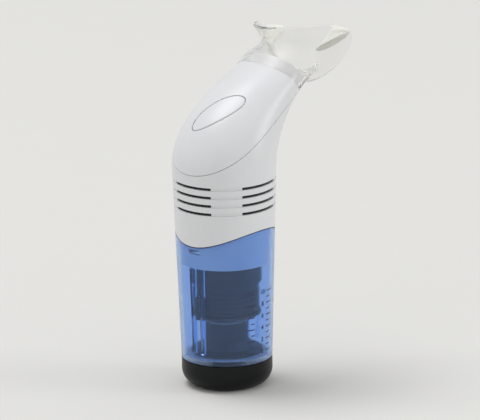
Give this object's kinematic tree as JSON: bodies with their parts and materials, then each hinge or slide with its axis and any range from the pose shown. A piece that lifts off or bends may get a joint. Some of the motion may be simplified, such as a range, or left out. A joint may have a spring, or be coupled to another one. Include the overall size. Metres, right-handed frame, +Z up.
{
  "type": "breathing trainer",
  "caption": "Handheld threshold breathing trainer with soft mouthpiece, leaning handle, vented collar, load sleeve with carrier, and adjuster knob.",
  "frame": {"origin": "centre of the flat underside that it stands on", "axes": "+Z up along the body, +X towards the side that the handle leans to, +Y across the mouthpiece"},
  "size_m": [0.0964, 0.0699, 0.1906],
  "materials": {
    "white_shell": "satin white",
    "blue_sleeve": "frosted translucent blue",
    "black_plastic": "satin black",
    "dark_plastic": "matte",
    "grey_plastic": "matte",
    "clear_silicone": "clear soft silicone",
    "seal_rubber": "matte",
    "steel": "drawn",
    "brass": "turned"
  },
  "bodies": {
    "root": {"main_body": "white_shell", "handle_cover": "white_shell", "load_sleeve": "blue_sleeve", "valve_head": "grey_plastic", "valve_head_seal": "seal_rubber", "flap_retainer": "grey_plastic", "spring_washer": "steel", "load_spring": "steel", "thrust_washer": "grey_plastic"},
    "knob": {"adjuster_knob": "black_plastic", "hub_screw": "steel", "screw_cover": "black_plastic", "drive_hub": "dark_plastic", "hub_seal": "seal_rubber"},
    "valve_stage": {"inhale_poppet": "grey_plastic", "poppet_seal": "clear_silicone", "spindle_washer": "brass"},
    "spindle": {"lead_spindle": "steel"},
    "carrier": {"spring_carrier": "dark_plastic"},
    "exhale": {"exhale_flap": "clear_silicone"},
    "mouth": {"mouthpiece": "clear_silicone"}
  },
  "joints": [
    {"name": "knob_turn", "type": "hinge", "parent": "root", "child": "knob", "pos_m": [0, 0, 0.008], "axis": [0, 0, 1], "range_deg": [-1944, 1656]},
    {"name": "inhale_lift", "type": "slide", "parent": "root", "child": "valve_stage", "axis": [0, 0, 1], "range_m": [0, 0.0025], "stiffness_N_per_m": 350, "springref_m": -0.0227},
    {"name": "spindle_turn", "type": "hinge", "parent": "valve_stage", "child": "spindle", "pos_m": [0, 0, 0.1], "axis": [0, 0, 1], "range_deg": [-1945, 1657]},
    {"name": "carrier_travel", "type": "slide", "parent": "valve_stage", "child": "carrier", "axis": [0, 0, 1], "range_m": [-0.01768, 0.01506], "deforming": ["load_spring"]},
    {"name": "exhale_lift", "type": "slide", "parent": "root", "child": "exhale", "axis": [0, 0, -1], "range_m": [0, 0.001], "stiffness_N_per_m": 30, "springref_m": -0.001},
    {"name": "mouthpiece_pull", "type": "slide", "parent": "root", "child": "mouth", "axis": [0.8039, 0, 0.5948], "range_m": [0, 0.03]}
  ],
  "couplings": [
    {"joint": "spindle_turn", "follows": "knob_turn", "ratio": 1},
    {"joint": "carrier_travel", "follows": "knob_turn", "m_per_rad": 0.00052044}
  ]
}
